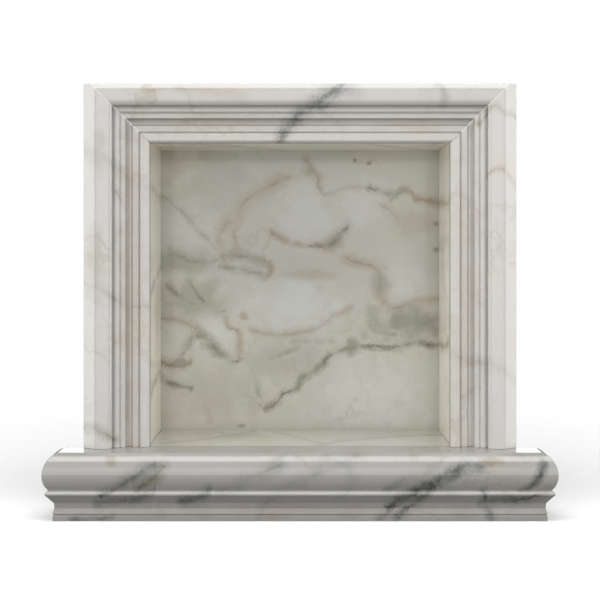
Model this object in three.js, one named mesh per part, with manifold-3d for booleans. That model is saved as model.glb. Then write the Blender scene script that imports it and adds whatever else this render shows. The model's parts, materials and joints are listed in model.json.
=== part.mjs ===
// A recessed shower niche in veined white marble: a slab-lined box let into a wall, framed by three lengths
// of mitred moulding that stand on a projecting sill. Millimetres, +Z up. The bare wall's face, behind its
// tiles, is the plane y = 0, the mouldings project towards -Y and the box runs back towards +Y.

import * as THREE from "three";
import { mergeVertices } from "three/addons/utils/BufferGeometryUtils.js";
import Module from "manifold-3d";

const wasm = await Module();
wasm.setup();

// The recess, measured between its finished faces.
const recess_width = 304.8;
const recess_height = 306;
const recess_depth = 88.9; // from the wall's face to the back panel
const slab_thickness = 10;

// How the pieces meet.
const joint = 0.3; // open joint between two stones
const frame_lap = 2.5; // how far the frame covers the edge of the recess
const rebate_depth = 4; // rebate behind the frame and the sill that takes the slabs' front edges

// Frame moulding, read outwards from its inner edge. Projections are from the wall's face.
const jamb_width = 65;
const rail_height = 57.8; // the top rail is sawn flat before its crown reaches its outer edge
const fillet_width = 9.3;
const fillet_projection = 14.3;
const fillet_ease = 3;
const inner_quirk_width = 1.8;
const inner_quirk_floor = 11;
const lip_width = 6;
const lip_projection = 12.4;
const lip_fall_width = 2;
const cove_floor = 8.2;
const cove_radius = 4.6;
const band_width = 4.6;
const band_projection = 16.2;
const band_ease = 0.9;
const groove_width = 1.1;
const groove_depth = 1.1;
const bead_width = 5.6;
const bead_rise = 1.5;
const outer_quirk_width = 1.2;
const outer_quirk_floor = 15.4;
const crown_start_projection = 21.2;
const crown_projection = 24.4;
const crown_swell_width = 9;
const crown_flat_width = 4;
const crown_bend_width = 4; // how slowly the crown bends over into its outer slope
const crown_slope_width = 10.5;
const crown_slope_fall = 6;
const outer_edge_height = 17; // straight outer edge that the wall's tiles butt against

// Sill, read downwards from its flat top.
const sill_height = 65.5;
const sill_ear = 20; // how far the flat top runs on beyond the frame at each end
const nose_projection = 54.2;
const nose_drop = 20; // from the flat top to where the nose projects most
const nose_half_height = 20.5;
const nose_half_depth = 16.5;
const nose_foot_drop = 34.4; // where the nose ends over the bead
const bead_root_projection = 48.8;
const bead_nose_drop = 38.6;
const bead_nose_projection = 51.7;
const bead_nose_radius = 2.2;
const bed_drop = 48.2; // underside of the bead, where the frieze starts
const frieze_projection = 44.6;
const frieze_foot_projection = 45.7;
const sill_groove_height = 1.7;
const sill_groove_depth = 1.2;
const base_projection = 45.5;
const base_height = 5.1; // plain strip below the groove

const arc_steps = 7; // segments of a curve in an outline, an elliptical arc gets twice as many

// Places that follow from the sizes above, before the whole is set on its reference point.
const half_recess = recess_width / 2;
const half_opening = half_recess - frame_lap;
const opening_height = recess_height - frame_lap;
const rebate_width = frame_lap + slab_thickness + joint;
const box_half_width = half_recess + slab_thickness;
const frame_half_width = half_opening + jamb_width;
const frame_height = opening_height + rail_height;
const slab_front = -(rebate_depth - joint);
const slab_run = recess_depth - joint - slab_front;
const frieze_foot_drop = sill_height - base_height - sill_groove_height;
const sill_rear_top = -(slab_thickness + joint);
const seat_height = -(sill_rear_top - sill_height) / 2; // flat top above the middle of the sill's rear face
const nose_centre = nose_projection - nose_half_depth;
const flat_top_projection = nose_centre + nose_half_depth * Math.sqrt(1 - (nose_drop / nose_half_height) ** 2);
const sill_core_half_width = frame_half_width + sill_ear - flat_top_projection; // before its profile is added

const X = new THREE.Vector3(1, 0, 0);
const Y = new THREE.Vector3(0, 1, 0);
const Z = new THREE.Vector3(0, 0, 1);

function stone(name, colour) {
  const material = new THREE.MeshStandardMaterial({ color: colour, roughness: 0.22, metalness: 0 });
  material.name = name;
  return material;
}

// A closed solid from a geometry, ready to be joined or cut.
function solidOf(geometry) {
  const bare = geometry.clone();
  bare.deleteAttribute("normal");
  bare.deleteAttribute("uv");
  const merged = mergeVertices(bare, 1e-4);
  return new wasm.Manifold(
    new wasm.Mesh({
      numProp: 3,
      vertProperties: new Float32Array(merged.attributes.position.array),
      triVerts: new Uint32Array(merged.index.array),
    }),
  );
}

// The solid's faces as a geometry with flat facets.
function geometryOf(solid) {
  const mesh = solid.getMesh();
  const positions = new Float32Array(mesh.numVert * 3);
  for (let i = 0; i < mesh.numVert; i++) {
    positions.set(mesh.vertProperties.subarray(i * mesh.numProp, i * mesh.numProp + 3), i * 3);
  }
  const geometry = new THREE.BufferGeometry();
  geometry.setAttribute("position", new THREE.BufferAttribute(positions, 3));
  geometry.setIndex(new THREE.BufferAttribute(new Uint32Array(mesh.triVerts), 1));
  const flat = geometry.toNonIndexed();
  flat.computeVertexNormals();
  return flat;
}

// An outline drawn in two directions and run along a third. The three directions are right-handed.
function extruded(shape, across, out, along, start, length) {
  const geometry = new THREE.ExtrudeGeometry(shape, {
    depth: length,
    steps: 1,
    bevelEnabled: false,
    curveSegments: arc_steps,
  });
  geometry.applyMatrix4(new THREE.Matrix4().makeBasis(across, out, along).setPosition(start));
  return geometry;
}

// A rectangular block between two corners.
function block(low, high) {
  const size = new THREE.Vector3().subVectors(high, low);
  const geometry = new THREE.BoxGeometry(size.x, size.y, size.z);
  const centre = new THREE.Vector3().addVectors(low, high).multiplyScalar(0.5);
  return geometry.translate(centre.x, centre.y, centre.z);
}

// Section of the frame moulding: across it from the inner edge, and out from the wall's face.
function mouldingSection(width) {
  const section = new THREE.Path();
  section.moveTo(rebate_width, rebate_depth);
  section.lineTo(0, rebate_depth);
  section.absarc(fillet_ease, fillet_projection - fillet_ease, fillet_ease, Math.PI, Math.PI / 2, true);
  let at = fillet_width;
  section.lineTo(at, fillet_projection);
  at += inner_quirk_width / 3;
  section.lineTo(at, inner_quirk_floor);
  at += inner_quirk_width / 3;
  section.lineTo(at, inner_quirk_floor);
  at += inner_quirk_width / 3;
  section.lineTo(at, lip_projection);
  at += lip_width;
  section.lineTo(at, lip_projection);
  const fall = (lip_projection - cove_floor) / 2;
  section.bezierCurveTo(
    at + lip_fall_width / 3, lip_projection - fall,
    at + lip_fall_width / 2, cove_floor,
    at + lip_fall_width, cove_floor,
  );
  at += lip_fall_width;
  section.absarc(at, cove_floor + cove_radius, cove_radius, -Math.PI / 2, 0, false);
  at += cove_radius;
  section.absarc(at + band_ease, band_projection - band_ease, band_ease, Math.PI, Math.PI / 2, true);
  at += band_width;
  section.lineTo(at, band_projection);
  section.lineTo(at + groove_width / 2, band_projection - groove_depth);
  at += groove_width;
  section.absellipse(at + bead_width / 2, band_projection, bead_width / 2, bead_rise, Math.PI, 0, true);
  at += bead_width;
  section.lineTo(at + outer_quirk_width / 4, outer_quirk_floor);
  section.lineTo(at + (outer_quirk_width * 3) / 4, outer_quirk_floor);
  at += outer_quirk_width;
  section.lineTo(at, crown_start_projection);
  const swell = crown_projection - crown_start_projection;
  section.bezierCurveTo(
    at + crown_swell_width / 8, crown_start_projection + (swell * 3) / 4,
    at + crown_swell_width / 2, crown_projection,
    at + crown_swell_width, crown_projection,
  );
  at += crown_swell_width + crown_flat_width;
  section.lineTo(at, crown_projection);
  section.bezierCurveTo(
    at + crown_bend_width, crown_projection,
    jamb_width - crown_slope_width, outer_edge_height + crown_slope_fall,
    jamb_width, outer_edge_height,
  );
  section.lineTo(jamb_width, 0);
  section.lineTo(rebate_width, 0);
  const whole = new THREE.Shape(section.getPoints(arc_steps));
  return width < jamb_width ? cutAcross(whole, width) : whole;
}

// The same section sawn square at a smaller width, without the corner that lies on the cut.
function cutAcross(shape, width) {
  const kept = [];
  const points = shape.getPoints();
  points.forEach((point, i) => {
    const next = points[(i + 1) % points.length];
    if (point.x <= width) kept.push(point);
    if ((point.x - width) * (next.x - width) < 0) {
      kept.push(point.clone().lerp(next, (width - point.x) / (next.x - point.x)));
    }
  });
  return new THREE.Shape(kept);
}

// Everything on one side of a mitre: a wedge whose long face runs at 45 degrees through a corner of the
// opening. side is -1 or 1 for the left or right corner, keep is "jamb" below the mitre or "rail" above it.
function mitreWedge(side, keep) {
  const reach = 2 * (frame_half_width + frame_height);
  const shift = (joint / 2) * Math.SQRT2;
  const corner_z = opening_height + (keep === "rail" ? shift : -shift);
  const wedge = new THREE.Shape();
  wedge.moveTo(side * half_opening - side * reach, corner_z - reach);
  wedge.lineTo(side * half_opening + side * reach, corner_z + reach);
  wedge.lineTo(side * half_opening + (keep === "rail" ? -side : side) * reach,
    corner_z + (keep === "rail" ? reach : -reach));
  return extruded(wedge, X, Z, Y.clone().negate(), new THREE.Vector3(0, reach / 2, 0), reach);
}

function jamb(side) {
  const length = frame_height;
  const section = mouldingSection(jamb_width);
  const blank = side > 0
    ? extruded(section, X, Y.clone().negate(), Z.clone().negate(),
      new THREE.Vector3(half_opening, 0, joint + length), length)
    : extruded(section, X.clone().negate(), Y.clone().negate(), Z,
      new THREE.Vector3(-half_opening, 0, joint), length);
  const above = block(
    new THREE.Vector3(-2 * frame_half_width, -2 * crown_projection, frame_height),
    new THREE.Vector3(2 * frame_half_width, crown_projection, 2 * frame_height),
  );
  return solidOf(blank).intersect(solidOf(mitreWedge(side, "jamb"))).subtract(solidOf(above));
}

function topRail() {
  const blank = extruded(mouldingSection(rail_height), Z, Y.clone().negate(), X,
    new THREE.Vector3(-frame_half_width, 0, opening_height), 2 * frame_half_width);
  return solidOf(blank)
    .intersect(solidOf(mitreWedge(-1, "rail")))
    .intersect(solidOf(mitreWedge(1, "rail")));
}

// The moulded edge of the sill: projection, and height against its flat top, from the top down.
function sillEdge() {
  const edge = new THREE.Path();
  const angleAt = (drop) => Math.asin((nose_drop - drop) / nose_half_height);
  edge.absellipse(nose_centre, -nose_drop, nose_half_depth, nose_half_height,
    angleAt(0), angleAt(nose_foot_drop), true);
  edge.lineTo(bead_root_projection, -nose_foot_drop - joint);
  edge.absarc(bead_nose_projection - bead_nose_radius, -bead_nose_drop, bead_nose_radius,
    Math.PI / 6, -Math.PI / 3, true);
  edge.lineTo(frieze_projection, -bed_drop);
  edge.quadraticCurveTo(
    frieze_projection - (frieze_foot_projection - frieze_projection) / 2,
    -(bed_drop + frieze_foot_drop) / 2,
    frieze_foot_projection, -frieze_foot_drop,
  );
  edge.lineTo(base_projection - sill_groove_depth, -frieze_foot_drop - sill_groove_height / 3);
  edge.lineTo(base_projection - sill_groove_depth, -frieze_foot_drop - (sill_groove_height * 2) / 3);
  edge.lineTo(base_projection, -frieze_foot_drop - sill_groove_height);
  edge.lineTo(base_projection, -sill_height);
  return edge.getPoints(arc_steps);
}

// The edge runs along the front and is returned at both ends, mitred at the two front corners. The ears,
// which pass the frame's outer edges, stop at the face of the wall's tiles.
function sill() {
  const edge = sillEdge();
  const front = new THREE.Shape([...edge, new THREE.Vector2(0, -sill_height), new THREE.Vector2(0, 0)]);
  const right = edge.map((point) => new THREE.Vector2(sill_core_half_width + point.x, point.y));
  const left = right.map((point) => new THREE.Vector2(-point.x, point.y)).reverse();
  const ends = new THREE.Shape([...right, ...left]);
  const half_length = sill_core_half_width + nose_projection + slab_thickness;
  const along = extruded(front, Y.clone().negate(), Z, X.clone().negate(),
    new THREE.Vector3(half_length, 0, 0), 2 * half_length);
  const across = extruded(ends, X, Z, Y.clone().negate(), new THREE.Vector3(0, 0, 0), 2 * nose_projection);
  const rebate = block(
    new THREE.Vector3(-(box_half_width + joint), -rebate_depth, sill_rear_top),
    new THREE.Vector3(box_half_width + joint, rebate_depth, slab_thickness),
  );
  let whole = solidOf(along).intersect(solidOf(across)).subtract(solidOf(rebate));
  for (const side of [-1, 1]) {
    const tiles = block(
      new THREE.Vector3(Math.min(side * frame_half_width, side * half_length), -outer_edge_height, -2 * sill_height),
      new THREE.Vector3(Math.max(side * frame_half_width, side * half_length), nose_projection, sill_height),
    );
    whole = whole.subtract(solidOf(tiles));
  }
  return whole;
}

function sidePanel(side) {
  const inner = side * half_recess;
  const outer = side * box_half_width;
  return block(
    new THREE.Vector3(Math.min(inner, outer), slab_front, -slab_thickness),
    new THREE.Vector3(Math.max(inner, outer), slab_front + slab_run, recess_height + slab_thickness),
  );
}

// A level slab between the two side panels, from its underside up.
function levelPanel(underside) {
  const half = half_recess - joint;
  return block(
    new THREE.Vector3(-half, slab_front, underside),
    new THREE.Vector3(half, slab_front + slab_run, underside + slab_thickness),
  );
}

function backPanel() {
  return block(
    new THREE.Vector3(-box_half_width, recess_depth, -slab_thickness),
    new THREE.Vector3(box_half_width, recess_depth + slab_thickness, recess_height + slab_thickness),
  );
}

const niche = new THREE.Group();
niche.name = "marble_shower_niche";
const body = new THREE.Group();
body.position.z = seat_height;
niche.add(body);

function place(name, geometry, material) {
  const mesh = new THREE.Mesh(geometry, material);
  mesh.name = name;
  body.add(mesh);
}

const framing_stone = stone("framing stone", 0xd9d8d0);
const lining_stone = stone("lining stone", 0xcfc8ba);
place("sill", geometryOf(sill()), framing_stone);
place("left_jamb", geometryOf(jamb(-1)), framing_stone);
place("right_jamb", geometryOf(jamb(1)), framing_stone);
place("top_rail", geometryOf(topRail()), framing_stone);
place("left_side_panel", sidePanel(-1), lining_stone);
place("right_side_panel", sidePanel(1), lining_stone);
place("top_panel", levelPanel(recess_height), lining_stone);
place("floor_panel", levelPanel(-slab_thickness), lining_stone);
place("back_panel", backPanel(), lining_stone);

export default niche;
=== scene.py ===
# %% [markdown]
# # A marble shower niche
# A recessed niche is a square box of polished marble slabs let into a bathroom wall. Three lengths of
# mitred moulding frame it and stand on a thick moulded sill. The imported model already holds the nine
# stones at their real size. Here each stone is made again with finer curves and eased arrises, and gets
# the veined marble that this kind of niche is cut from. Lengths are in metres, the wall's face is the
# plane y = 0, and the room is towards -Y.

import json
import math

import bmesh
import bpy
import numpy as np
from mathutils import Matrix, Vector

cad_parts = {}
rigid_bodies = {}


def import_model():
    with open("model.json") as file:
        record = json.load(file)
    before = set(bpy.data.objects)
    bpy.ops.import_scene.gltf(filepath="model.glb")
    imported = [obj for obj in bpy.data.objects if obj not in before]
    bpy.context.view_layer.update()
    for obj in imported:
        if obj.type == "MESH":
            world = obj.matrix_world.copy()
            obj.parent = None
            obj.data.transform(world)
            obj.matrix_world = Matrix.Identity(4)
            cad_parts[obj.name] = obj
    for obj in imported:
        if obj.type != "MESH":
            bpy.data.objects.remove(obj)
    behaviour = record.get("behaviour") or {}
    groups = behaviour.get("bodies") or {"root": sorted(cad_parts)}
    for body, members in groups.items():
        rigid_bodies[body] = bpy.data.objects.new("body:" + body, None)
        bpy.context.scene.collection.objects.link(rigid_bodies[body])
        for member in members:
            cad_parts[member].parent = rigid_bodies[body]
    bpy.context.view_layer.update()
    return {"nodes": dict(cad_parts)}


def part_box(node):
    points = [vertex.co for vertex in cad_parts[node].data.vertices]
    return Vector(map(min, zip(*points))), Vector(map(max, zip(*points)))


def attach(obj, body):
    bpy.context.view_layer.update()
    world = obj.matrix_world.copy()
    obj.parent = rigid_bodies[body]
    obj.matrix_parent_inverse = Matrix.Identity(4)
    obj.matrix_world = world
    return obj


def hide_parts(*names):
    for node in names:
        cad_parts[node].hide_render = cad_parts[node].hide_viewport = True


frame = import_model()
print("stones in the model:", ", ".join(sorted(frame["nodes"])))

# %% [markdown]
# The camera stands level in front of the niche, a little over a metre from the wall and a little above
# the middle of the opening, so the sill's flat top just shows. A level camera keeps the jambs upright in
# the picture, and the shift moves the picture down to the sill instead of tilting the camera.

# %% Camera
mm = 0.001
image_pixels = 600
sensor_width = 36
focal_pixels = 1026
camera_distance = 1036 * mm
eye_above_shelf = 189.6 * mm
horizon_row = 257
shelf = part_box("floor_panel")[1].z
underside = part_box("sill")[0].z

camera_data = bpy.data.cameras.new("niche camera")
camera_data.sensor_width = sensor_width
camera_data.lens = focal_pixels * sensor_width / image_pixels
camera_data.shift_y = (horizon_row - image_pixels / 2) / image_pixels
camera_data.clip_start = 10 * mm
camera = bpy.data.objects.new("niche camera", camera_data)
camera.location = (0, -camera_distance, shelf + eye_above_shelf)
camera.rotation_euler = (math.radians(90), 0, 0)
bpy.context.scene.collection.objects.link(camera)
bpy.context.scene.camera = camera
print(f"lens {camera_data.lens:.2f} mm, shift {camera_data.shift_y:.4f}")

# %% [markdown]
# Materials and light are built from nodes, and the same few moves come back all the time: put a node
# down, set it, and join its inputs. These helpers keep the cells below short enough to read.

# %% Helpers that put nodes down
def put(tree, kind, joins=(), **settings):
    """One node of a kind in a tree. joins gives an input a socket to follow or a value to hold."""
    made = tree.nodes.new(kind)
    for name, value in settings.items():
        setattr(made, name, value)
    for socket, source in dict(joins).items():
        if isinstance(source, bpy.types.NodeSocket):
            tree.links.new(source, made.inputs[socket])
        else:
            made.inputs[socket].default_value = source
    return made


def sum_of(tree, operation, *values, **settings):
    """The outcome of one step of arithmetic on numbers and sockets."""
    return put(tree, "ShaderNodeMath", enumerate(values), operation=operation, **settings).outputs[0]


def arrow(tree, operation, *values):
    """The outcome of one step on vectors: a number for a dot product or a length, or else a vector."""
    made = put(tree, "ShaderNodeVectorMath", enumerate(values), operation=operation)
    return made.outputs["Value" if operation in ("DOT_PRODUCT", "LENGTH") else "Vector"]


def ramp(tree, value, low, high, start=0.0, end=1.0):
    """A smooth change from start to end while the value goes from low to high."""
    joins = {0: value, 1: low, 2: high, 3: start, 4: end}
    return put(tree, "ShaderNodeMapRange", joins, interpolation_type="SMOOTHSTEP").outputs[0]


def noise(tree, point, scale, detail=2.0, roughness=0.5):
    """Noise in the solid stone, with scale lumps to the metre."""
    joins = {"Vector": point, "Scale": scale, "Detail": detail, "Roughness": roughness}
    return put(tree, "ShaderNodeTexNoise", joins)


def group(name, vectors, numbers, outputs, output_kind="NodeSocketFloat"):
    """A node group whose inputs are the named vectors and numbers, with its input and output nodes."""
    tree = bpy.data.node_groups.new(name, "ShaderNodeTree")
    for names, way, kind in ((vectors, "INPUT", "NodeSocketVector"), (numbers, "INPUT", "NodeSocketFloat"),
                             (outputs, "OUTPUT", output_kind)):
        for socket in names:
            tree.interface.new_socket(name=socket, in_out=way, socket_type=kind)
    return tree, put(tree, "NodeGroupInput").outputs, put(tree, "NodeGroupOutput")


def use(tree, made, joins):
    """One use of a node group, and its outputs."""
    return put(tree, "ShaderNodeGroup", joins, node_tree=made).outputs

# %% [markdown]
# Marble was once limestone mud, folded and squeezed while it was hot, so nothing in it runs straight. The
# first group folds the stone: it moves each point by two noises, a slow one for the large folds and a
# quick one for the ripples, and every pattern after it is drawn on the moved points.

# %% Node group: folds in the stone
def fold_group():
    """Point moved by Fold times a noise of Fold Scale, and by Ripple times a noise of Ripple Scale."""
    tree, given, out = group(
        "stone folds", ["Point"], ["Fold", "Fold Scale", "Ripple", "Ripple Scale"],
        ["Point"], "NodeSocketVector")
    moved = given["Point"]
    for amount in ("Fold", "Ripple"):
        lumps = noise(tree, given["Point"], given[amount + " Scale"]).outputs["Color"]
        centred = arrow(tree, "SUBTRACT", lumps, (0.5, 0.5, 0.5))
        push = put(tree, "ShaderNodeVectorMath", {0: centred, "Scale": given[amount]}, operation="SCALE")
        moved = arrow(tree, "ADD", moved, push.outputs["Vector"])
    tree.links.new(moved, out.inputs["Point"])
    return tree


stone_folds = fold_group()
print("stone folds:", len(stone_folds.nodes), "nodes")

# %% [markdown]
# A vein is a crack that filled with darker minerals, so it is a thin wavy sheet in the stone, and a line
# where a face cuts it. Each main vein is drawn on its stone as a mason would sketch it, by a straight
# axis and how far the vein wanders to its side. The axis gives every point of the stone a place along
# the vein and a distance from the axis, and a curve node then holds the wander for each place.

# %% Node groups: axis and body of a vein
def vein_axis_group():
    """Place along an axis, from 0 at Start to 1 at Length, and distance to its side."""
    tree, given, out = group(
        "vein axis", ["Point", "Start", "Along", "Across"], ["Length"], ["Place", "Side"])
    from_start = arrow(tree, "SUBTRACT", given["Point"], given["Start"])
    run = arrow(tree, "DOT_PRODUCT", from_start, given["Along"])
    tree.links.new(sum_of(tree, "DIVIDE", run, given["Length"]), out.inputs["Place"])
    tree.links.new(arrow(tree, "DOT_PRODUCT", from_start, given["Across"]), out.inputs["Side"])
    return tree


def vein_body_group():
    """A dark Line and a soft Halo round a vein.

    The distance to the vein is Side less Wander, joined at right angles with how far Place lies past
    either end. Line falls from 1 to 0 within Width of it, where Frayed times Width is taken off the
    distance or added to it, and Halo falls within Spread. Both are times Strength, Line also times
    Broken and Halo times Faded.
    """
    tree, given, out = group(
        "vein body", [],
        ["Place", "Side", "Wander", "Length", "Width", "Spread", "Strength", "Frayed", "Broken", "Faded"],
        ["Line", "Halo"])
    off = sum_of(tree, "SUBTRACT", given["Side"], given["Wander"])
    from_middle = sum_of(tree, "ABSOLUTE", sum_of(tree, "SUBTRACT", given["Place"], 0.5))
    past_end = sum_of(tree, "MAXIMUM", sum_of(tree, "SUBTRACT", from_middle, 0.5), 0.0)
    past_end = sum_of(tree, "MULTIPLY", past_end, given["Length"])
    both = put(tree, "ShaderNodeCombineXYZ", {0: off, 1: past_end}).outputs[0]
    away = arrow(tree, "LENGTH", both)
    for name, reach, fray, share in (("Line", "Width", 1.0, "Broken"), ("Halo", "Spread", 0.5, "Faded")):
        frayed = sum_of(tree, "MULTIPLY", sum_of(tree, "MULTIPLY", given["Frayed"], fray), given[reach])
        fall = ramp(tree, sum_of(tree, "ADD", away, frayed), 0.0, given[reach], 1.0, 0.0)
        strength = sum_of(tree, "MULTIPLY", given["Strength"], given[share])
        tree.links.new(sum_of(tree, "MULTIPLY", fall, strength), out.inputs[name])
    return tree


vein_axis = vein_axis_group()
vein_body = vein_body_group()
print("vein body:", len(vein_body.nodes), "nodes")

# %% [markdown]
# Where veins meet, the minerals spread into knots, specks and clouded patches. A patch is an ellipse
# with its edge broken by noise.

# %% Node group: patch
def patch_group():
    """1 in an ellipse of half sizes Size round Centre, falling to 0 at its edge, which Ragged breaks up."""
    tree, given, out = group(
        "mineral patch", ["Point", "Centre", "Size"], ["Core", "Ragged", "Strength"], ["Patch"])
    away = arrow(tree, "SUBTRACT", given["Point"], given["Centre"])
    away = arrow(tree, "LENGTH", arrow(tree, "DIVIDE", away, given["Size"]))
    away = sum_of(tree, "ADD", away, given["Ragged"])
    fall = ramp(tree, away, given["Core"], 1.0, 1.0, 0.0)
    tree.links.new(sum_of(tree, "MULTIPLY", fall, given["Strength"]), out.inputs["Patch"])
    return tree


mineral_patch = patch_group()
print("mineral patch:", len(mineral_patch.nodes), "nodes")

# %% [markdown]
# Between the main veins the stone is never plain. A web of hairlines runs through it where a noise
# crosses its middle value, and only shows in some regions.

# %% Node group: hairline web
def web_group():
    """A line wherever a noise of Scale is within Fineness of one half, kept where a slow noise is high."""
    tree, given, out = group("hairline web", ["Point"], ["Scale", "Fineness", "Cover"], ["Web"])
    lumps = noise(tree, given["Point"], given["Scale"], 3.0, 0.55).outputs[0]
    off = sum_of(tree, "ABSOLUTE", sum_of(tree, "SUBTRACT", lumps, 0.5))
    line = ramp(tree, off, 0.0, given["Fineness"], 1.0, 0.0)
    region_scale = sum_of(tree, "MULTIPLY", given["Scale"], 0.6)
    region = noise(tree, given["Point"], region_scale, 1.0).outputs[0]
    region = sum_of(tree, "ADD", region, given["Cover"])
    kept = ramp(tree, region, 0.5, 0.72)
    tree.links.new(sum_of(tree, "MULTIPLY", line, kept), out.inputs["Web"])
    return tree


hairline_web = web_group()
print("hairline web:", len(hairline_web.nodes), "nodes")

# %% [markdown]
# The faces that meet the wall are left as the saw cut them: dull, with fine parallel arcs. The group
# finds them by the way they face.

# %% Node group: sawn faces
def sawn_group():
    """1 on faces that look along Sawn Side, and the ridges that the saw left there."""
    tree, given, out = group("sawn faces", ["Point", "Normal", "Sawn Side"], [], ["Sawn", "Ridges"])
    facing = arrow(tree, "DOT_PRODUCT", given["Normal"], given["Sawn Side"])
    sawn = ramp(tree, facing, 0.75, 0.9)
    joins = {"Vector": given["Point"], "Scale": 160.0, "Distortion": 1.5, "Detail": 2.0, "Detail Scale": 4.0}
    ridges = put(tree, "ShaderNodeTexWave", joins, bands_direction="DIAGONAL").outputs["Fac"]
    tree.links.new(sawn, out.inputs["Sawn"])
    tree.links.new(sum_of(tree, "MULTIPLY", ridges, sawn), out.inputs["Ridges"])
    return tree


sawn_faces = sawn_group()
print("sawn faces:", len(sawn_faces.nodes), "nodes")

# %% [markdown]
# One function makes the marble of every stone, because they are cut from the same quarry. What differs
# is where the main veins run, how warm and how dark the ground is and which faces are sawn. On the side
# slabs and the ceiling a paler ground and a full tone are painted light, standing in for light that
# bounces and glances into the recess. Places on a stone are in millimetres, across and up from the
# middle of the shelf's front, as on a mason's sketch.

# %% Colours of the marble
def chart(red, green, blue):
    """A colour as a chart shows it, from 0 to 255, made linear for the shader."""
    value = np.array([red, green, blue]) / 255
    linear = np.where(value <= 0.04045, value / 12.92, ((value + 0.055) / 1.055) ** 2.4)
    return (*linear.tolist(), 1.0)


clear_white = chart(238, 240, 234)
cloud_grey = chart(206, 204, 190)
warm_tint = chart(226, 217, 200)
halo_slate = chart(172, 172, 166)
halo_grey = chart(168, 164, 144)
halo_tan = chart(191, 174, 148)
line_slate = chart(96, 98, 94)
line_grey = chart(126, 117, 96)
line_brown = chart(140, 118, 90)
stains = {"brown": (halo_tan, line_brown), "grey": (halo_grey, line_grey), "slate": (halo_slate, line_slate)}
print("kinds of vein:", ", ".join(stains))

# %% Scales and depths of the marble
fold, fold_scale = 7 * mm, 30.0
ripple, ripple_scale = 3.4 * mm, 150.0
grain_scale, break_scale, lump_scale = 380.0, 62.0, 48.0
fine_web_scale, warm_scale, web_scale, cloud_scale = 42.0, 21.0, 17.0, 13.0
polish, vein_dulling, saw_dulling = 0.16, 0.12, 0.45
vein_hollow, saw_ridge = 0.02 * mm, 0.12 * mm
print(f"clouds about {1 / cloud_scale / mm:.0f} mm wide, grain about {1 / grain_scale / mm:.1f} mm")

# %% Masks and mixtures
def highest(tree, masks):
    """The highest of several masks."""
    top = masks[0]
    for mask in masks[1:]:
        top = sum_of(tree, "MAXIMUM", top, mask)
    return top


def mixed(tree, share, first, second):
    """first where share is 0, second where it is 1."""
    return put(tree, "ShaderNodeMix", {0: share, 6: first, 7: second}, data_type="RGBA").outputs[2]

# %% [markdown]
# Each main vein is one use of the two vein groups. The points of its path become the places and sides of
# a curve node, which runs smoothly through them.

# %% One drawn vein
def drawn_vein(tree, point, unrest, path, width, spread, strength):
    """Line and halo of a vein through the points of path, in millimetres on the stone's sketch.

    unrest holds the three masks that fray, break and fade a vein.
    """
    points = np.array(path, float) * mm
    span = points[-1] - points[0]
    length = float(np.hypot(*span))
    along = span / length
    across = np.array([-along[1], along[0]])
    places = (points - points[0]) @ along / length
    sides = (points - points[0]) @ across
    reach = max(float(np.abs(sides).max()) * 1.2, 1 * mm)
    axis = use(tree, vein_axis, {"Point": point, "Start": (*points[0], 0), "Along": (*along, 0),
                                 "Across": (*across, 0), "Length": length})
    bend = put(tree, "ShaderNodeFloatCurve", {"Value": axis["Place"]})
    curve = bend.mapping.curves[0]
    for place, side in zip(places[1:-1], sides[1:-1]):
        curve.points.new(float(place), float(side / reach / 2 + 0.5))
    curve.points[0].location = (0, 0.5)
    curve.points[-1].location = (1, 0.5)
    bend.mapping.update()
    wander = sum_of(tree, "MULTIPLY", sum_of(tree, "SUBTRACT", bend.outputs[0], 0.5), 2 * reach)
    body = use(tree, vein_body, {
        "Place": axis["Place"], "Side": axis["Side"], "Wander": wander, "Length": length,
        "Width": width * mm, "Spread": spread * mm, "Strength": strength, **unrest})
    return body["Line"], body["Halo"]

# %% [markdown]
# All the veins and patches of a stone together are its figure. Three noises keep it restless: a fine
# grain frays the veins' edges, breaks leave their dark lines in pieces, and lumps fade their halos and
# make the patches ragged.

# %% Figure of a stone
def drawn_figure(tree, solid, folded, sketch, veins, patches):
    """Masks of the lines and of the halos on a stone, by their kinds."""
    grain = noise(tree, solid, grain_scale, 3.0, 0.65).outputs[0]
    lumps = noise(tree, folded, lump_scale, 4.0, 0.55).outputs[0]
    breaks = noise(tree, folded, break_scale, 4.0, 0.6).outputs[0]
    unrest = {
        "Frayed": sum_of(tree, "MULTIPLY", sum_of(tree, "SUBTRACT", grain, 0.5), 1.8),
        "Broken": ramp(tree, breaks, 0.4, 0.68, 0.1, 0.9),
        "Faded": ramp(tree, lumps, 0.34, 0.62, 0.35, 1.15)}
    ragged = sum_of(tree, "MULTIPLY", sum_of(tree, "SUBTRACT", lumps, 0.5), 1.7)

    lines = {kind: [] for kind in stains}
    halos = {kind: [] for kind in (*stains, "clear")}
    for kind, path, width, spread, strength in veins:
        line, halo = drawn_vein(tree, sketch, unrest, path, width, spread, strength)
        lines[kind].append(line)
        halos[kind].append(halo)
    for kind, centre, size, strength in patches:
        patch = use(tree, mineral_patch, {
            "Point": sketch, "Centre": (centre[0] * mm, centre[1] * mm, 0),
            "Size": (size[0] * mm, size[1] * mm, 1.0), "Core": 0.1, "Ragged": ragged,
            "Strength": strength})["Patch"]
        halos[kind].append(patch)
    return lines, halos

# %% [markdown]
# The colour is built up as the stone was: a pale ground with clouds and warm parts, then the hairlines,
# then the halos and at last the dark lines.

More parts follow.
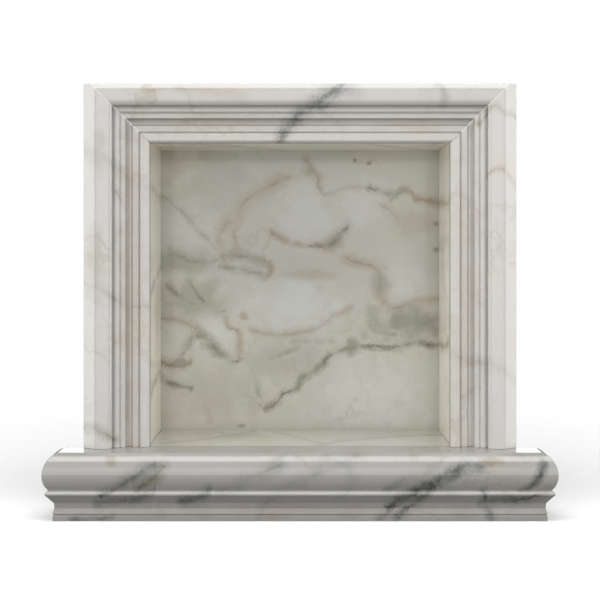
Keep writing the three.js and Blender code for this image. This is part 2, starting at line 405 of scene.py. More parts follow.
# %% Colour of a stone
def stone_colour(tree, solid, folded, web, lines, halos, ground, clouds, tone):
    """ground mixed with each layer's colour by the layer's mask, one after the other, then times tone."""
    cloud = noise(tree, folded, cloud_scale, 4.0, 0.6).outputs[0]
    cloud = ramp(tree, cloud, 0.66 - 0.3 * clouds, 0.96 - 0.3 * clouds)
    warm = ramp(tree, noise(tree, solid, warm_scale, 3.0).outputs[0], 0.46, 0.7, 0.0, 0.4)
    fine_joins = {"Point": folded, "Scale": fine_web_scale, "Fineness": 0.05, "Cover": 0.0}
    fine = use(tree, hairline_web, fine_joins)["Web"]

    colour = mixed(tree, cloud, ground, cloud_grey)
    colour = mixed(tree, warm, colour, warm_tint)
    if halos["clear"]:
        colour = mixed(tree, highest(tree, halos["clear"]), colour, clear_white)
    colour = mixed(tree, sum_of(tree, "MULTIPLY", web, 0.3), colour, halo_grey)
    colour = mixed(tree, sum_of(tree, "MULTIPLY", fine, 0.2), colour, halo_tan)
    for kind, (halo_colour, line_colour) in stains.items():
        if halos[kind]:
            colour = mixed(tree, highest(tree, halos[kind]), colour, halo_colour)
        if lines[kind]:
            colour = mixed(tree, highest(tree, lines[kind]), colour, line_colour)
    # Times the tone, which on the side slabs and the ceiling also paints in light.
    return arrow(tree, "MULTIPLY", colour, (tone, tone, tone))

# %% [markdown]
# The polish is almost a mirror, but veins are softer than the rest, so they are a little duller and lie
# a hair's breadth lower. Sawn faces are duller still, and ridged.

# %% Marble
def marble(name, veins, patches, ground, clouds, tone, face, sawn_side):
    """Veined marble for one stone.

    veins lists (kind, path, width, spread, strength), patches lists (kind, centre, size, strength) and
    kind is slate, grey, brown or clear. ground is the stone's pale colour, clouds how much of it is
    clouded and tone the share of light that the whole stone keeps. On the side slabs and the ceiling
    the paler ground and a tone of 1 are painted light, for light bounced and glancing into the recess.
    The sketch lies on face, which is a point in millimetres and the sketch's two directions there.
    """
    origin, across, up = face
    material = bpy.data.materials.new(name)
    material.use_nodes = True
    tree = material.node_tree
    tree.nodes.clear()
    place = put(tree, "ShaderNodeTexCoord").outputs
    solid = arrow(tree, "SUBTRACT", place["Object"], (0, 0, shelf))
    folded = use(tree, stone_folds, {"Point": solid, "Fold": fold, "Fold Scale": fold_scale,
                                     "Ripple": ripple, "Ripple Scale": ripple_scale})["Point"]
    drawn_at = arrow(tree, "SUBTRACT", folded, [mm * part for part in origin])
    sketch = put(tree, "ShaderNodeCombineXYZ", {
        0: arrow(tree, "DOT_PRODUCT", drawn_at, across),
        1: arrow(tree, "DOT_PRODUCT", drawn_at, up)}).outputs[0]
    web_joins = {"Point": folded, "Scale": web_scale, "Fineness": 0.035, "Cover": 0.02}
    web = use(tree, hairline_web, web_joins)["Web"]
    lines, halos = drawn_figure(tree, solid, folded, sketch, veins, patches)
    colour = stone_colour(tree, solid, folded, web, lines, halos, ground, clouds, tone)

    drawn = highest(tree, sum(lines.values(), [web]))
    sawn = use(tree, sawn_faces, {"Point": solid, "Normal": place["Normal"], "Sawn Side": sawn_side})
    gloss = sum_of(tree, "MULTIPLY_ADD", drawn, vein_dulling, polish)
    gloss = sum_of(tree, "MULTIPLY_ADD", sawn["Sawn"], saw_dulling, gloss)
    ridges = sum_of(tree, "MULTIPLY", sawn["Ridges"], saw_ridge)
    hollow = sum_of(tree, "MULTIPLY_ADD", drawn, -vein_hollow, ridges)
    bump = put(tree, "ShaderNodeBump", {"Height": hollow, "Distance": 1.0, "Strength": 0.6})
    shader = put(tree, "ShaderNodeBsdfPrincipled", {
        "Base Color": colour, "Roughness": gloss, "Normal": bump.outputs[0],
        "IOR": 1.5, "Coat Weight": 0.15, "Coat Roughness": 0.06})
    put(tree, "ShaderNodeOutputMaterial", {"Surface": shader.outputs[0]})
    print(f"{name}: {len(veins)} veins, {len(patches)} patches, {len(tree.nodes)} nodes")
    return material

# %% [markdown]
# The mouldings are ground on a machine with a shaped wheel, so one section runs along the whole length.
# A curve is a formula: an arc is its centre plus radii times the cosine and sine of an angle, and a
# swell is a Bezier curve. Easing then cuts each corner back a little, twice, as a polisher's pad does.

# %% Curves of a section
curve_points = 14
arris_ease = 0.35 * mm


def arc(centre, radii, start, end):
    """Centre plus radii times cosine and sine of the angles from start to end, in degrees."""
    angle = np.radians(np.linspace(start, end, curve_points))
    return np.column_stack([centre[0] + radii[0] * np.cos(angle), centre[1] + radii[1] * np.sin(angle)])


def swell(first, second, third, fourth):
    """The cubic Bezier curve of four points, at even steps of its parameter."""
    t = np.linspace(0, 1, curve_points)[:, None]
    ends = (1 - t) ** 3 * np.array(first) + t ** 3 * np.array(fourth)
    return ends + 3 * (1 - t) ** 2 * t * np.array(second) + 3 * (1 - t) * t ** 2 * np.array(third)


def eased(points, closed):
    """Each corner replaced by two points, cut back along both its sides by a length that shrinks."""
    for cut in (arris_ease, arris_ease / 3):
        before = np.roll(points, 1, axis=0) - points
        after = np.roll(points, -1, axis=0) - points
        cuts = []
        for side in (before, after):
            length = np.maximum(np.linalg.norm(side, axis=1, keepdims=True), 1e-9)
            cuts.append(points + side / length * np.minimum(cut, length / 3))
        doubled = np.stack(cuts, axis=1).reshape(-1, 2)
        points = doubled if closed else np.vstack([points[:1], doubled[2:-2], points[-1:]])
    return points

# %% [markdown]
# Every surface here is a grid of points, row by row. Neighbouring points make the faces, and the two
# ends are closed with a face each. A last pass merges what coincides and turns all faces outwards.

# %% From grids to a stone
merge_distance = 0.002 * mm
sharp_angle = math.radians(32)


def grid_faces(rows, columns, closed=False):
    """Four-sided faces between neighbours of a grid whose points are numbered row by row."""
    row = np.arange(rows if closed else rows - 1)[:, None]
    column = np.arange(columns - 1)[None, :]
    here = row * columns + column
    above = (row + 1) % rows * columns + column
    return np.stack([here, here + 1, above + 1, above], axis=-1).reshape(-1, 4).tolist()


def stone(name, points, faces, node, material):
    """A finished stone in place of a node: merged, facing out, smooth but for its arrises."""
    mesh = bpy.data.meshes.new(name)
    mesh.from_pydata(points.tolist(), [], faces)
    work = bmesh.new()
    work.from_mesh(mesh)
    bmesh.ops.remove_doubles(work, verts=work.verts, dist=merge_distance)
    bmesh.ops.recalc_face_normals(work, faces=work.faces)
    open_edges = sum(not edge.is_manifold for edge in work.edges)
    work.to_mesh(mesh)
    work.free()
    mesh.polygons.foreach_set("use_smooth", np.ones(len(mesh.polygons), bool))
    mesh.set_sharp_from_angle(angle=sharp_angle)
    mesh.materials.append(material)
    piece = bpy.data.objects.new(name, mesh)
    bpy.context.scene.collection.objects.link(piece)
    level = piece.modifiers.new("flat faces stay flat", "WEIGHTED_NORMAL")
    level.keep_sharp = True
    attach(piece, "root")
    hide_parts(node)
    print(f"{name}: {len(mesh.vertices)} points, {len(mesh.polygons)} faces, {open_edges} open edges")

# %% [markdown]
# The frame moulding, read outwards from its inner edge: a broad flat fillet, a quirk (a narrow sunk
# groove), a flat lip that falls into a cove, a flat band with a scratched groove, a bead, a second
# quirk, and a broad flat crown that bends over into a slope. The outer edge is as high as the wall's tiles.

# %% Section of the frame moulding
recess_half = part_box("right_side_panel")[0].x
slab_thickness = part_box("right_side_panel")[1].x - recess_half
joint = 0.3 * mm
hairline = 0.2 * mm
frame_lap = 2.5 * mm
rebate_depth = 4 * mm
rebate_width = frame_lap + slab_thickness + joint
opening_half = recess_half - frame_lap
opening_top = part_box("top_panel")[0].z - frame_lap
frame_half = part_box("right_jamb")[1].x
frame_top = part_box("right_jamb")[1].z
jamb_width = frame_half - opening_half
rail_height = frame_top - opening_top

fillet_width, fillet_projection, fillet_ease = 9.3 * mm, 14.3 * mm, 3 * mm
quirk_width, quirk_floor = 1.8 * mm, 11 * mm
lip_width, lip_projection, lip_fall = 6 * mm, 12.4 * mm, 2 * mm
cove_floor, cove_radius = 8.2 * mm, 4.6 * mm
band_width, band_projection, band_ease = 4.6 * mm, 16.2 * mm, 0.9 * mm
groove_width, groove_depth = 1.1 * mm, 1.1 * mm
bead_width, bead_rise = 5.6 * mm, 1.5 * mm
outer_quirk_width, outer_quirk_floor = 1.2 * mm, 15.4 * mm
crown_start, crown_projection = 21.2 * mm, 24.4 * mm
crown_swell, crown_flat, crown_bend = 9 * mm, 4 * mm, 4 * mm
crown_slope, crown_slope_fall, outer_edge = 10.5 * mm, 6 * mm, 17 * mm


def moulding_section():
    """Points across the moulding from its inner edge, and out from the wall, round the whole section."""
    quirk = fillet_width
    lip = quirk + quirk_width
    fall = lip + lip_width
    cove = fall + lip_fall
    band = cove + cove_radius
    groove = band + band_width
    bead = groove + groove_width
    outer = bead + bead_width
    crown = outer + outer_quirk_width
    brow = crown + crown_swell + crown_flat
    rise = crown_projection - crown_start
    half_drop = (lip_projection - cove_floor) / 2
    parts = [
        [(rebate_width, 0), (rebate_width, rebate_depth), (0, rebate_depth)],
        arc((fillet_ease, fillet_projection - fillet_ease), (fillet_ease, fillet_ease), 180, 90),
        [(quirk, fillet_projection), (quirk + quirk_width / 3, quirk_floor)],
        [(quirk + quirk_width * 2 / 3, quirk_floor), (lip, lip_projection)],
        swell((fall, lip_projection), (fall + lip_fall / 3, lip_projection - half_drop),
              (fall + lip_fall / 2, cove_floor), (cove, cove_floor)),
        arc((cove, cove_floor + cove_radius), (cove_radius, cove_radius), -90, 0)[1:],
        arc((band + band_ease, band_projection - band_ease), (band_ease, band_ease), 180, 90),
        [(groove, band_projection), (groove + groove_width / 2, band_projection - groove_depth)],
        arc((bead + bead_width / 2, band_projection), (bead_width / 2, bead_rise), 180, 0),
        [(outer + outer_quirk_width / 4, outer_quirk_floor)],
        [(outer + outer_quirk_width * 3 / 4, outer_quirk_floor)],
        swell((crown, crown_start), (crown + crown_swell / 8, crown_start + rise * 3 / 4),
              (crown + crown_swell / 2, crown_projection), (crown + crown_swell, crown_projection)),
        swell((brow, crown_projection), (brow + crown_bend, crown_projection),
              (jamb_width - crown_slope, outer_edge + crown_slope_fall), (jamb_width, outer_edge)),
        [(jamb_width, 0)],
    ]
    return eased(np.vstack(parts), closed=True)


section = moulding_section()
print("moulding section:", len(section), "points,", f"{section[:, 1].max() / mm:.1f} mm deep")

# %% [markdown]
# A jamb is the section carried straight up from the sill. At its head it is sawn at 45 degrees for the
# mitre, so the height of each line of the section is the opening's top plus that line's distance from
# the inner edge, up to the level where the whole frame is sawn flat. The rail is the same section run
# across, sawn flat on top, and mitred at both ends.

# %% Jambs and top rail
run_steps = 9


def carried(section, start, end):
    """Grid of a straight moulding: each section point at even steps from its start to its end."""
    t = np.linspace(0, 1, run_steps)[None, :]
    run = start[:, None] * (1 - t) + end[:, None] * t
    across = np.broadcast_to(section[:, :1], run.shape)
    out = np.broadcast_to(section[:, 1:], run.shape)
    return across, out, run


def ring_ends(count, split):
    """Faces that close both ends of a run, the far end in two parts where the saw changed direction."""
    ring = np.arange(count)
    near = (ring * run_steps)[::-1].tolist()
    far = ring * run_steps + run_steps - 1
    if split is None:
        return [near, far.tolist()]
    beyond = ring[split]
    bridge = [beyond[0] - 1, beyond[0], beyond[-1], (beyond[-1] + 1) % count]
    return [near, far[~split].tolist(), far[beyond].tolist(), far[bridge].tolist()]


def jamb(name, side, material):
    """side is -1 on the left and 1 on the right."""
    foot = np.full(len(section), shelf + hairline)
    mitre = opening_top + section[:, 0] - hairline
    across, out, run = carried(section, foot, np.minimum(mitre, frame_top))
    points = np.stack([side * (opening_half + across), -out, run], axis=-1).reshape(-1, 3)
    faces = grid_faces(len(section), run_steps, closed=True) + ring_ends(len(section), mitre > frame_top)
    stone(name, points, faces, name.replace("_stone", ""), material)


def top_rail(name, material):
    """The section run across, where each line is as long as its distance from the opening asks."""
    sawn = np.column_stack([np.minimum(section[:, 0], rail_height), section[:, 1]])
    half = opening_half + sawn[:, 0] - hairline
    across, out, run = carried(sawn, -half, half)
    points = np.stack([run, -out, opening_top + across], axis=-1).reshape(-1, 3)
    faces = grid_faces(len(sawn), run_steps, closed=True) + ring_ends(len(sawn), None)
    stone(name, points, faces, "top_rail", material)

# %% [markdown]
# The sill has a thick rounded nose over a thin bead, a hollow frieze and a square foot. The same edge
# runs along the front and is returned at both ends, so its plan is a rectangle pushed out by the
# section: the further a line projects, the longer it is. The two front corners are eased in plan. The
# ears that pass the frame stop at the face of the wall's tiles, and the middle goes back to the wall.

# %% Section of the sill
sill_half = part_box("sill")[1].x
nose_projection = -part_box("sill")[0].y
core_half = sill_half - nose_projection
sill_top = shelf
sill_height = sill_top - underside
rebate_top = 10.3 * mm
rebate_half = recess_half + slab_thickness + joint
nose_drop, nose_half_height, nose_half_depth = 20 * mm, 20.5 * mm, 16.5 * mm
nose_foot = 34.4 * mm
bead_root, bead_nose_drop, bead_nose, bead_radius = 48.8 * mm, 38.6 * mm, 51.7 * mm, 2.2 * mm
bed_drop, frieze_projection = 48.2 * mm, 44.6 * mm
frieze_foot_projection, frieze_foot = 45.7 * mm, 58.7 * mm
sill_groove, sill_groove_depth, base_projection = 1.7 * mm, 1.2 * mm, 45.5 * mm
edge_strip = 3 * mm
corner_ease = 0.8 * mm
corner_steps = 5


def sill_section():
    """Projection and height of the sill's edge from its flat top down, with a strip of top and foot."""
    centre = nose_projection - nose_half_depth
    nose_angles = [math.degrees(math.asin((nose_drop - drop) / nose_half_height)) for drop in (0, nose_foot)]
    nose = arc((centre, -nose_drop), (nose_half_depth, nose_half_height), *nose_angles)
    frieze_middle = frieze_projection - (frieze_foot_projection - frieze_projection) / 2
    parts = [
        [(nose[0, 0] - edge_strip, 0)],
        nose,
        [(bead_root, -nose_foot - joint)],
        arc((bead_nose - bead_radius, -bead_nose_drop), (bead_radius, bead_radius), 30, -60),
        [(frieze_projection, -bed_drop), (frieze_middle, -(bed_drop + frieze_foot) / 2)],
        [(frieze_foot_projection, -frieze_foot)],
        [(base_projection - sill_groove_depth, -frieze_foot - sill_groove / 3)],
        [(base_projection - sill_groove_depth, -frieze_foot - sill_groove * 2 / 3)],
        [(base_projection, -frieze_foot - sill_groove), (base_projection, -sill_height)],
        [(base_projection - edge_strip, -sill_height)],
    ]
    return eased(np.vstack(parts), closed=False)


def sill(name, material):
    """Grid of the edge round three sides, closed by top, foot, backs and the rebate for the slabs."""
    edge = sill_section()
    out = edge[:, :1]
    turn = np.radians(np.linspace(0, 90, corner_steps))[None, :]
    corner_x = core_half + out - corner_ease * (1 - np.cos(turn))
    corner_y = -out + corner_ease * (1 - np.sin(turn))
    side_x, ear_back = core_half + out, np.full_like(out, -outer_edge)
    x = np.hstack([side_x, corner_x, -corner_x[:, ::-1], -side_x])
    y = np.hstack([ear_back, corner_y, corner_y[:, ::-1], ear_back])
    z = np.broadcast_to(sill_top + edge[:, 1:], x.shape)
    rows, columns = x.shape
    points = np.stack([x, y, z], axis=-1).reshape(-1, 3)

    # a to h are the corners of the rebate, p to s those of the steps behind the ears.
    notch = [(sign * rebate_half, -rebate_depth * inner, level)
             for level in (sill_top, sill_top - rebate_top)
             for sign, inner in ((1, 0), (1, 1), (-1, 1), (-1, 0))]
    steps = [(sign * frame_half, -outer_edge * inner, level)
             for sign, inner in ((1, 1), (1, 0), (-1, 0), (-1, 1)) for level in (sill_top, underside)]
    points = np.vstack([points, notch, steps])
    a, b, c, d, e, f, g, h = range(rows * columns, rows * columns + 8)
    p, p_low, q, q_low, r, r_low, s, s_low = range(rows * columns + 8, rows * columns + 16)
    top = list(range(columns)) + [s, r, d, c, b, a, q, p]
    foot = list(range((rows - 1) * columns, rows * columns)) + [s_low, r_low, q_low, p_low]
    right_ear = [row * columns for row in range(rows)] + [p_low, p]
    left_ear = [row * columns + columns - 1 for row in range(rows)] + [s_low, s]
    back = [q, q_low, r_low, r, d, h, e, a]
    plain = [top, foot, right_ear, left_ear, back, [p, p_low, q_low, q], [s, s_low, r_low, r],
             [a, b, f, e], [b, c, g, f], [c, d, h, g], [e, f, g, h]]
    stone(name, points, grid_faces(rows, columns) + plain, "sill", material)

# %% [markdown]
# The lining slabs are 10 mm thick, polished on the face that shows and eased on their arrises so that
# they don't chip. A slab is its edge carried round a rectangle: the rectangle shrinks as the edge rounds
# over towards each face.

# %% Lining slabs
slab_ease = 0.6 * mm


def slab(name, node, thin, material):
    """A rounded block in the place of a node, thin along the axis 0, 1 or 2.

    Each ring of its grid is the rectangle shrunk by one less the sine, and then one less the cosine, of a
    quarter turn, times the easing, at a level that rises the other way round.
    """
    low, high = (np.array(corner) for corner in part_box(node))
    wide = [axis for axis in range(3) if axis != thin]
    half = (high - low) / 2
    centre = (high + low) / 2
    turn = np.radians(np.linspace(0, 90, corner_steps))
    inset = slab_ease * np.concatenate([1 - np.sin(turn), 1 - np.cos(turn)])
    rise = slab_ease * np.concatenate([1 - np.cos(turn), np.sin(turn) - 1])
    level = half[thin] * np.repeat([-1, 1], corner_steps) + rise
    signs = np.array([(1, 1), (-1, 1), (-1, -1), (1, -1), (1, 1)])
    grid = np.zeros((len(inset), len(signs), 3))
    for column, axis in enumerate(wide):
        grid[..., axis] = (half[axis] - inset[:, None]) * signs[None, :, column] + centre[axis]
    grid[..., thin] = level[:, None] + centre[thin]
    rows, columns = grid.shape[:2]
    faces = grid_faces(rows, columns) + [[0, 1, 2, 3], [(rows - 1) * columns + i for i in (3, 2, 1, 0)]]
    stone(name, grid.reshape(-1, 3), faces, node, material)

# %% [markdown]
# The back of the recess carries the boldest figure: a broken ring of tan and grey in the upper half, a
# strong branch that leaves for the right edge, a long dark vein that climbs from the foot to the right,
# and a restless grey region on the left.

# %% Veins of the back panel
back_veins = [
    ("brown", [(-12, 277), (-39, 264), (-62, 248), (-69, 233), (-81, 226), (-87, 213), (-86, 192)],
     4, 14, 0.5),
    ("brown", [(-69, 231), (-72, 211), (-69, 200), (-72, 190)], 3.5, 10, 0.45),
    ("brown", [(7, 295), (14, 285), (20, 278), (21, 267), (28, 260)], 3.5, 10, 0.55),
    ("brown", [(32, 261), (54, 266), (68, 266), (80, 264)], 2.8, 9, 0.5),
    ("grey", [(78, 265), (87, 261), (101, 257), (110, 259)], 2.4, 8, 1.1),
    ("brown", [(104, 257), (110, 261), (119, 262), (127, 255), (137, 254), (153, 251)], 3.2, 9, 0.9),
    ("brown", [(88, 247), (98, 240), (108, 228)], 4, 13, 0.35),
    ("brown", [(-30, 216), (-18, 209), (-5, 203), (14, 201), (26, 201)], 3.0, 8, 0.8),
    ("grey", [(22, 201), (33, 202), (39, 207), (45, 215), (52, 224)], 4.5, 11, 0.9),
    ("grey", [(-153, 257), (-139, 247), (-112, 219), (-93, 200)], 3, 9, 0.4),
    ("grey", [(-143, 194), (-129, 190), (-114, 184), (-95, 184), (-76, 192), (-60, 190), (-41, 184)],
     3.5, 12, 0.6),
    ("brown", [(-40, 186), (-33, 180), (-35, 171)], 3.5, 8, 0.9),
    ("grey", [(-88, 178), (-64, 175), (-43, 171)], 3.2, 10, 0.5),
    ("brown", [(53, 188), (66, 182), (77, 180), (87, 171), (87, 150), (91, 140)], 4, 13, 0.6),
    ("brown", [(89, 142), (108, 133), (121, 140), (135, 142), (153, 144)], 3.2, 9, 0.55),
    ("grey", [(153, 93), (140, 94), (125, 96), (108, 91), (87, 91), (66, 91), (56, 88)], 2.8, 8, 1.1),
    ("grey", [(60, 89), (45, 87), (35, 83), (24, 72), (14, 64), (3, 57), (-5, 45), (-18, 39), (-26, 29),
              (-42, 26)], 2.8, 9, 1.05),
    ("brown", [(-52, 108), (-30, 105), (-9, 105), (10, 109), (24, 115), (37, 125), (56, 133)], 2.8, 8, 0.55),
    ("grey", [(-8, 95), (12, 97), (35, 98)], 2.4, 8, 0.4),
    ("grey", [(-120, 160), (-110, 146), (-99, 133), (-85, 130)], 4, 13, 0.75),
    ("grey", [(-145, 158), (-129, 144), (-118, 137)], 3.5, 10, 0.6),
    ("brown", [(-82, 123), (-76, 112), (-68, 108), (-67, 96), (-66, 79)], 3.2, 8, 0.8),
    ("brown", [(-153, 122), (-133, 121), (-118, 114), (-106, 102)], 3, 9, 0.6),
    ("grey", [(-112, 106), (-106, 102), (-95, 91), (-81, 79), (-69, 75)], 4.5, 12, 0.9),
    ("grey", [(-116, 108), (-122, 93), (-130, 80)], 3.5, 10, 0.7),
    ("brown", [(-153, 75), (-137, 70), (-122, 73)], 4.5, 10, 0.9),
    ("grey", [(-153, 58), (-137, 49), (-118, 46)], 4, 10, 0.9),
    ("grey", [(-53, 66), (-47, 47), (-41, 30)], 2.8, 9, 0.45),
    ("grey", [(-34, 78), (-18, 84), (-4, 88)], 3.5, 9, 0.5),
    ("grey", [(-104, 26), (-99, 12)], 3, 9, 0.4),
    ("grey", [(77, 118), (89, 108), (104, 105)], 3, 9, 0.6),
]
back_patches = [
    ("clear", (10, 234), (62, 46), 0.7),
    ("clear", (-1, 136), (82, 40), 0.85),
    ("clear", (77, 38), (118, 58), 0.6),
    ("clear", (114, 172), (44, 40), 0.6),
    ("clear", (-95, 108), (30, 30), 0.7),
    ("clear", (-122, 222), (52, 40), 0.4),
    ("clear", (66, 244), (46, 40), 0.6),
    ("grey", (-129, 184), (48, 22), 0.65),
    ("grey", (-122, 141), (58, 34), 0.65),
    ("grey", (114, 116), (62, 30), 1.0),
    ("grey", (-91, 272), (80, 60), 0.35),
    ("brown", (-139, 293), (46, 36), 0.35),
    ("grey", (-100, 44), (90, 54), 0.35),
    ("grey", (-20, 76), (70, 40), 0.4),
    ("brown", (129, 228), (38, 28), 0.35),
    ("brown", (8, 170), (44, 8), 0.5),
    ("grey", (88, 158), (15, 24), 0.6),
    ("brown", (35, 205), (20, 14), 0.8),
    ("grey", (10, 283), (14, 10), 0.6),
    ("grey", (-98, 94), (16, 13), 0.6),
    ("brown", (62, 182), (15, 9), 0.8),
    ("brown", (-61, 124), (8, 7), 0.8),
    ("grey", (56, 92), (13, 15), 1.1),
    ("grey", (-131, 73), (15, 8), 1.2),
    ("grey", (59, 296), (3.4, 3), 1.3),
    ("grey", (77, 292), (4.4, 3), 1.7),
    ("grey", (-64, 5), (8, 4), 0.9),
    ("grey", (149, 227), (7, 6), 1.0),
    ("grey", (149, 197), (7, 5), 1.0),
]
wall_side = (0, 1, 0)
back_face = (0, 88.9, 0), (1, 0.3, 0), (0, 0.2, 1)
back_marble = marble("back panel marble", back_veins, back_patches, chart(222, 219, 204), 0.3, 0.47,
                     back_face, wall_side)

# %% [markdown]
# The side slabs, the ceiling and the shelf are quieter. Their sketches lie on their own faces: depth and
# height on the sides, width and depth on the two level slabs.

# %% Veins of the sides, the ceiling and the shelf
# The side slabs' paler grounds and tone of 1 are painted light: they stand in for light that bounces and
# glances into the recess.
left_marble = marble(
    "left side marble",
    [("brown", [(20, 262), (50, 256), (88, 252)], 3, 12, 0.5),
     ("grey", [(10, 150), (45, 166), (88, 178)], 3, 12, 0.5),
     ("grey", [(0, 40), (40, 58), (88, 66)], 3, 12, 0.5)],
    [("grey", (60, 130), (40, 50), 0.3)], chart(236, 234, 222), 0.3, 1.0,
    ((-152, 0, 0), (0.25, 1, 0), (0.2, 0, 1)), (-1, 0, 0))
right_marble = marble(
    "right side marble",
    [("brown", [(0, 240), (40, 246), (88, 250)], 3, 12, 0.5),
     ("grey", [(0, 104), (50, 96), (88, 95)], 3, 12, 0.6),
     ("grey", [(10, 210), (60, 205), (88, 200)], 3, 12, 0.4)],
    [("brown", (60, 180), (30, 40), 0.3)], chart(242, 240, 228), 0.3, 1.0,
    ((152, 0, 0), (0.25, 1, 0), (-0.2, 0, 1)), (1, 0, 0))
# The ceiling's near-white ground and tone of 1 are painted light, standing in for light bounced up into the
# recess.
ceiling_marble = marble(
    "ceiling marble",
    [("brown", [(-120, 20), (-60, 50), (-20, 88)], 3, 12, 0.4),
     ("grey", [(60, 0), (90, 40), (140, 80)], 3, 12, 0.4)],
    [("brown", (-130, 60), (40, 40), 0.4)], chart(252, 248, 236), 0.3, 1.0,
    ((0, 0, 306), (1, 0, 0.2), (0, 1, 0.2)), (0, 0, 1))
shelf_marble = marble(
    "shelf marble",
    [("grey", [(-140, 10), (-90, 40), (-50, 80)], 3, 12, 0.4),
     ("grey", [(20, 0), (60, 30), (150, 60)], 3, 12, 0.4),
     ("brown", [(-30, 80), (0, 40), (20, 5)], 3, 9, 0.3)],
    [("grey", (-60, 50), (50, 30), 0.3)], chart(232, 229, 218), 0.35, 0.56,
    ((0, 0, 0), (1, 0, 0.2), (0, 1, 0.2)), (0, 0, -1))

# %% The five slabs
slab("left_side_slab", "left_side_panel", 0, left_marble)
slab("right_side_slab", "right_side_panel", 0, right_marble)
slab("ceiling_slab", "top_panel", 2, ceiling_marble)
slab("shelf_slab", "floor_panel", 2, shelf_marble)
slab("back_slab", "back_panel", 1, back_marble)

# %% [markdown]
# The mouldings are cut from a less yellow part of the block, and the veins cross them. Because a vein
# is a sheet that leans in the stone, its line shifts where the moulding is deeper, so the sketch's two
# directions also take in a share of the depth.

# %% Veins of the frame
moulding_face = (0, -18, 0), (1, 0.3, 0), (0, 0.5, 1)
rail_marble = marble(
    "top rail marble",
    [("slate", [(48, 362), (35, 352), (18, 343), (0, 333), (-10, 323), (-19, 307)], 7, 13, 0.75),
     ("slate", [(56, 362), (42, 350), (20, 336)], 4, 11, 0.5),
     ("slate", [(135, 361), (139, 352), (141, 341)], 3, 8, 0.4),
     ("brown", [(-150, 350), (-110, 352), (-60, 345)], 3, 12, 0.25)],
    [("slate", (32, 350), (34, 16), 0.5), ("brown", (-60, 324), (180, 12), 0.3),
     ("brown", (120, 324), (90, 10), 0.3)],
    chart(224, 222, 216), 0.2, 0.51, moulding_face, wall_side)
right_jamb_marble = marble(
    "right jamb marble",
    [("grey", [(186, 331), (194, 334), (200, 328), (208, 330), (216, 325)], 2.4, 7, 0.4),
     ("brown", [(184, 266), (190, 272), (198, 273), (206, 269), (216, 264)], 2.4, 8, 0.35),
     ("grey", [(150, 96), (180, 84), (216, 66)], 3, 12, 0.25)],
    [("brown", (179, 324), (5, 5), 0.8), ("brown", (166, 150), (20, 260), 0.3)],
    chart(224, 222, 217), 0.2, 0.56, moulding_face, wall_side)
left_jamb_marble = marble(
    "left jamb marble",
    [("grey", [(-217, 22), (-213, 21), (-202, 17), (-192, 11), (-183, 8)], 3, 9, 0.5),
     ("grey", [(-217, 300), (-195, 285), (-150, 262)], 3, 12, 0.25),
     ("brown", [(-182, 256), (-178, 250), (-172, 240)], 3, 8, 0.35),
     ("grey", [(-217, 170), (-190, 150), (-150, 142)], 3, 12, 0.25)],
    [("grey", (-204, 180), (14, 60), 0.35), ("grey", (-200, 290), (14, 40), 0.3),
     ("brown", (-166, 150), (20, 260), 0.35)],
    chart(222, 220, 216), 0.25, 0.54, moulding_face, wall_side)

# %% Veins of the sill
sill_face = (0, -50, 0), (1, 0.3, 0), (0, 0.35, 1)
sill_marble = marble(
    "sill marble",
    [("slate", [(88, -50), (107, -38), (120, -31), (141, -21), (160, -12)], 6, 11, 1.2),
     ("slate", [(96, -58), (112, -46), (130, -30), (152, -18), (172, -13)], 4.5, 10, 1.0),
     ("slate", [(78, -62), (90, -52), (104, -44)], 3, 9, 0.6),
     ("slate", [(84, -34), (92, -29), (98, -25)], 2.4, 7, 0.6),
     ("slate", [(-190, -40), (-171, -29), (-152, -18), (-140, -12)], 3.6, 11, 0.8),
     ("grey", [(-156, -34), (-143, -24), (-132, -12)], 3.6, 10, 0.8),
     ("slate", [(218, -34), (223, -30), (228, -22), (233, -10)], 2.8, 8, 1.1),
     ("slate", [(-194, -46), (-176, -43), (-150, -42), (-140, -36)], 4, 9, 0.8),
     ("slate", [(-112, -45), (-99, -43), (-88, -36)], 4, 9, 0.8),
     ("slate", [(176, -46), (196, -42), (212, -44), (236, -37)], 2.6, 8, 0.8),
     ("slate", [(176, -36), (181, -48), (186, -63)], 2.2, 7, 0.8),
     ("slate", [(-220, -62), (-200, -62), (-180, -60)], 2.4, 7, 0.5),
     ("slate", [(-76, -34), (-50, -22), (-20, -10)], 3, 12, 0.4),
     ("slate", [(38, -8), (48, -24), (44, -38)], 3, 12, 0.35),
     ("slate", [(-40, -62), (-10, -30), (30, -14), (60, 2)], 3, 12, 0.2)],
    [("brown", (-182, -7), (8, 9), 0.6), ("slate", (-171, -29), (9, 6), 0.7),
     ("brown", (-143, -24), (14, 10), 0.6), ("brown", (184, -8), (18, 8), 0.7),
     ("slate", (124, -32), (50, 18), 0.4), ("brown", (0, -54), (330, 9), 0.4)],
    chart(228, 226, 220), 0.2, 0.37, sill_face, wall_side)

# %% The four moulded stones
jamb("left_jamb_stone", -1, left_jamb_marble)
jamb("right_jamb_stone", 1, right_jamb_marble)
top_rail("top_rail_stone", rail_marble)
sill("sill_stone", sill_marble)

# %% [markdown]
# A studio picture of polished stone needs soft lights, because the stone shows them as pale bands along
# its mouldings. Two tall softboxes stand level with the niche at its sides and light the outer edges and
# every arris, a wide one hangs above and lights the sill's top, and wide weak ones stand in front and
# behind. A small lamp near the camera's height looks into the recess, and the polish doesn't mirror it.
# Nothing shines from below, so the underside of the sill stays dark.

# %% Softboxes
middle = (0, 0, shelf + eye_above_shelf)


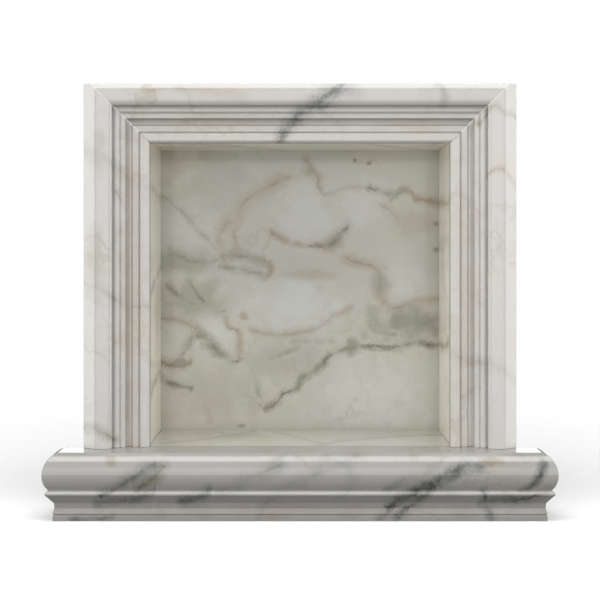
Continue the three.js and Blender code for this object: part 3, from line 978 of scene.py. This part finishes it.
def softbox(name, place, width, height, radiance, mirrored=True):
    """A rectangular light at a place, facing the niche. Its power is radiance times pi times its area."""
    light = bpy.data.lights.new(name, "AREA")
    light.shape = "RECTANGLE"
    light.size, light.size_y = width, height
    light.energy = radiance * math.pi * width * height
    lamp = bpy.data.objects.new(name, light)
    lamp.location = place
    way = Vector(middle) - Vector(place)
    lamp.rotation_euler = way.to_track_quat("-Z", "Y").to_euler()
    lamp.visible_camera = False
    lamp.visible_glossy = mirrored
    bpy.context.scene.collection.objects.link(lamp)
    print(f"{name}: {light.energy:.1f} W")


softbox("left softbox", (-1.45, -0.39, 0.35), 1.0, 1.4, 3.6)
softbox("right softbox", (1.45, -0.39, 0.35), 1.0, 1.4, 3.3)
softbox("top softbox", (0, -0.6, 1.8), 2.2, 1.0, 4.9)
softbox("front softbox", (0, -2.3, 0.4), 3.0, 1.6, 1.7)
softbox("rear softbox", (0, 2.4, 1.0), 2.4, 1.2, 2.6)
softbox("recess fill", (0, -2.0, 0.22), 0.7, 0.7, 12.5, mirrored=False)

# %% [markdown]
# The floor and the room are plain and pale. The floor is a wide disc that thins out to the white of the
# room, so no horizon shows, and only the camera sees it pale: the light that it sends back up is that
# of a dark floor.

# %% Floor
floor_radius = 1.4
fade_start, fade_end = 0.22 * floor_radius, 0.55 * floor_radius
floor_steps = 96
seen_floor, hidden_floor = chart(242, 242, 242), chart(40, 40, 40)


def white_floor():
    """A flat disc: radius times cosine and sine of even steps of angle."""
    angle = np.linspace(0, 2 * math.pi, floor_steps, endpoint=False)
    rim = floor_radius * np.column_stack([np.cos(angle), np.sin(angle)])
    mesh = bpy.data.meshes.new("studio floor")
    mesh.from_pydata(np.column_stack([rim, np.full(floor_steps, underside)]).tolist(), [],
                     [list(range(floor_steps))])
    paint = bpy.data.materials.new("pale floor")
    paint.use_nodes = True
    tree = paint.node_tree
    tree.nodes.clear()
    seen = put(tree, "ShaderNodeLightPath").outputs["Is Camera Ray"]
    pale = put(tree, "ShaderNodeBsdfDiffuse", {"Color": mixed(tree, seen, hidden_floor, seen_floor)})
    flat = arrow(tree, "MULTIPLY", put(tree, "ShaderNodeTexCoord").outputs["Object"], (1, 1, 0))
    thin = ramp(tree, arrow(tree, "LENGTH", flat), fade_start, fade_end)
    clear = put(tree, "ShaderNodeBsdfTransparent")
    both = put(tree, "ShaderNodeMixShader", {0: thin, 1: pale.outputs[0], 2: clear.outputs[0]})
    put(tree, "ShaderNodeOutputMaterial", {"Surface": both.outputs[0]})
    mesh.materials.append(paint)
    floor = bpy.data.objects.new("studio_floor", mesh)
    bpy.context.scene.collection.objects.link(floor)
    print(f"floor: thins out between {fade_start:.2f} and {fade_end:.2f} m")


white_floor()

# %% Room
room_glow = 0.03
world = bpy.data.worlds.new("white room")
bpy.context.scene.world = world
world.use_nodes = True
tree = world.node_tree
tree.nodes.clear()
seen = put(tree, "ShaderNodeLightPath").outputs["Is Camera Ray"]
brightness = put(tree, "ShaderNodeMix", {0: seen, 2: room_glow, 3: 1.0}).outputs[0]
sky = put(tree, "ShaderNodeBackground", {"Color": (1, 1, 1, 1), "Strength": brightness})
put(tree, "ShaderNodeOutputWorld", {"Surface": sky.outputs[0]})

scene = bpy.context.scene
scene.view_settings.view_transform = "Standard"
scene.view_settings.look = "None"
